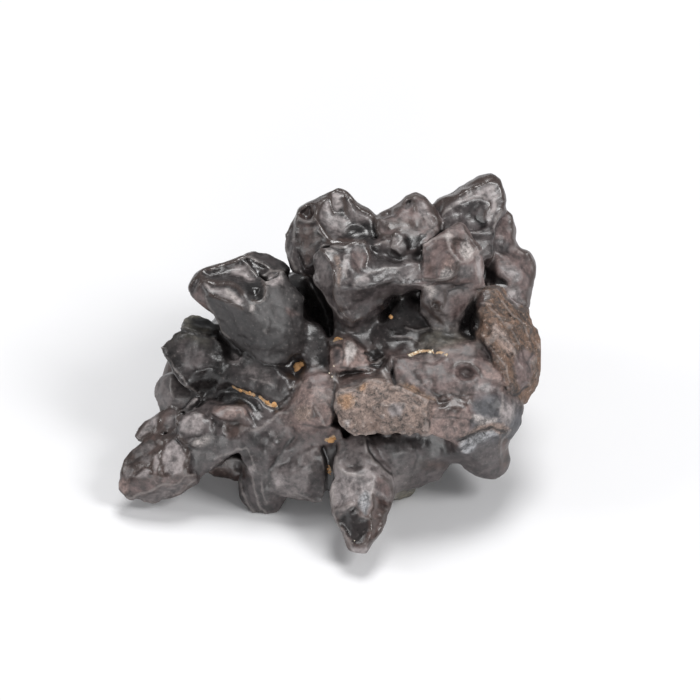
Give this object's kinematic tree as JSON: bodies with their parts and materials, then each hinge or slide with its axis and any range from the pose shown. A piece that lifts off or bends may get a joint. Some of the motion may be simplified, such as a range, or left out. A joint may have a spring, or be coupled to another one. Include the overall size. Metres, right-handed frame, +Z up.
{
  "type": "limonite concretion",
  "caption": "Dark brown-black limonite concretion: a palm-sized cluster of blunt, worn crystals and knobs fused into one heavy stone, resting on low knobs.",
  "frame": {"origin": "middle of the stone's bounding box, at the height of the worn feet that it rests on", "axes": "+X along its longest extent, from the long pointed arm to the broken shelf; +Y away from the broad leaning face; +Z up, its shortest extent"},
  "size_m": [0.0604, 0.052, 0.0339],
  "materials": {
    "iron_oxide": null
  },
  "bodies": {
    "root": {"concretion": "iron_oxide"}
  },
  "joints": []
}
